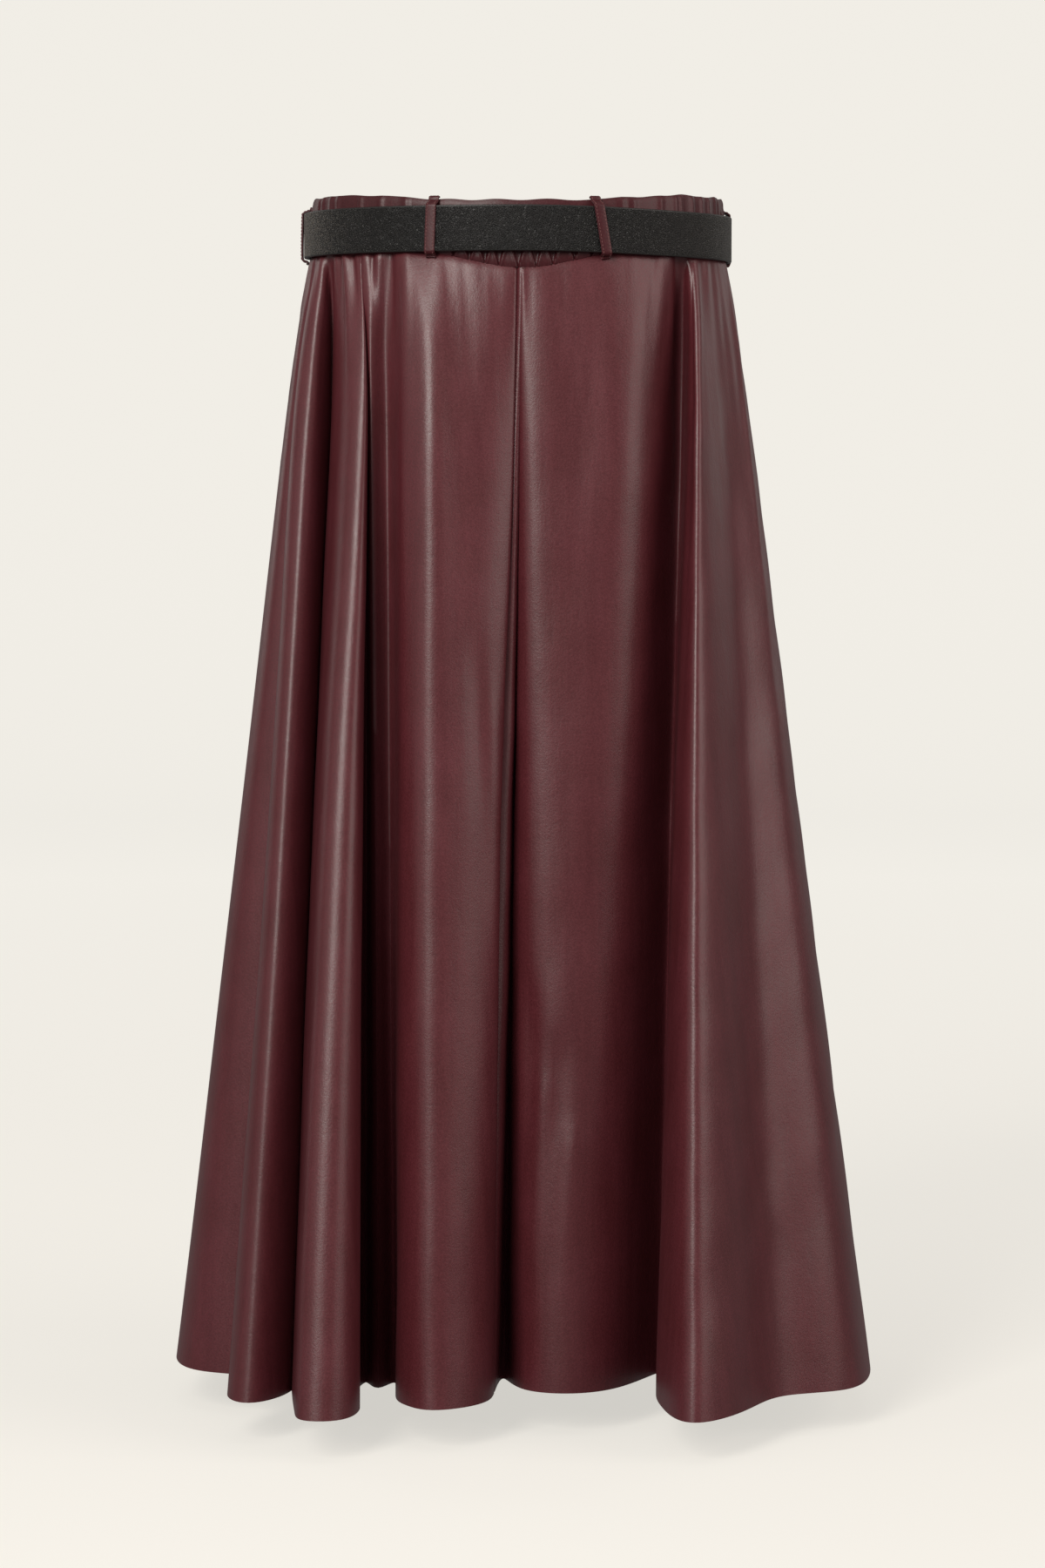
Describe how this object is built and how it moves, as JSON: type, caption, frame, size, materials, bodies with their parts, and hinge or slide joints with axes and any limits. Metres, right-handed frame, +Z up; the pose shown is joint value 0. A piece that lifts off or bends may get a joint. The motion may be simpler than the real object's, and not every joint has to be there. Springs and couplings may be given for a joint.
{
  "type": "leather skirt",
  "caption": "Flared long skirt in glossy burgundy leather with a gathered elastic waistband and its own black belt held in loops, in its worn, hollow shape.",
  "frame": {"origin": "centre of the waist at the height of the belt's centre line, where the wearer holds the skirt up", "axes": "+Z up along the skirt from hem to waist; +Y towards the wearer's front, so the centre back faces -Y; +X towards the wearer's right"},
  "size_m": [0.4963, 0.4455, 0.8226],
  "materials": {
    "skirt_cloth": "burgundy faux leather, smooth, satin gloss with very fine grain",
    "belt_strap": "black pebble-grained leather, low sheen, painted edges",
    "buckle_metal": "dark gunmetal plating, satin"
  },
  "bodies": {
    "root": {"back_left_panel": "skirt_cloth", "back_right_panel": "skirt_cloth", "front_panel": "skirt_cloth", "waistband": "skirt_cloth", "belt_loop_back_left": "skirt_cloth", "belt_loop_back_right": "skirt_cloth", "belt_loop_left_side": "skirt_cloth", "belt_loop_right_side": "skirt_cloth", "belt_loop_front_left": "skirt_cloth", "belt_loop_front_right": "skirt_cloth", "belt": "belt_strap", "belt_keeper": "belt_strap", "buckle_frame": "buckle_metal", "buckle_prong": "buckle_metal"}
  },
  "joints": []
}
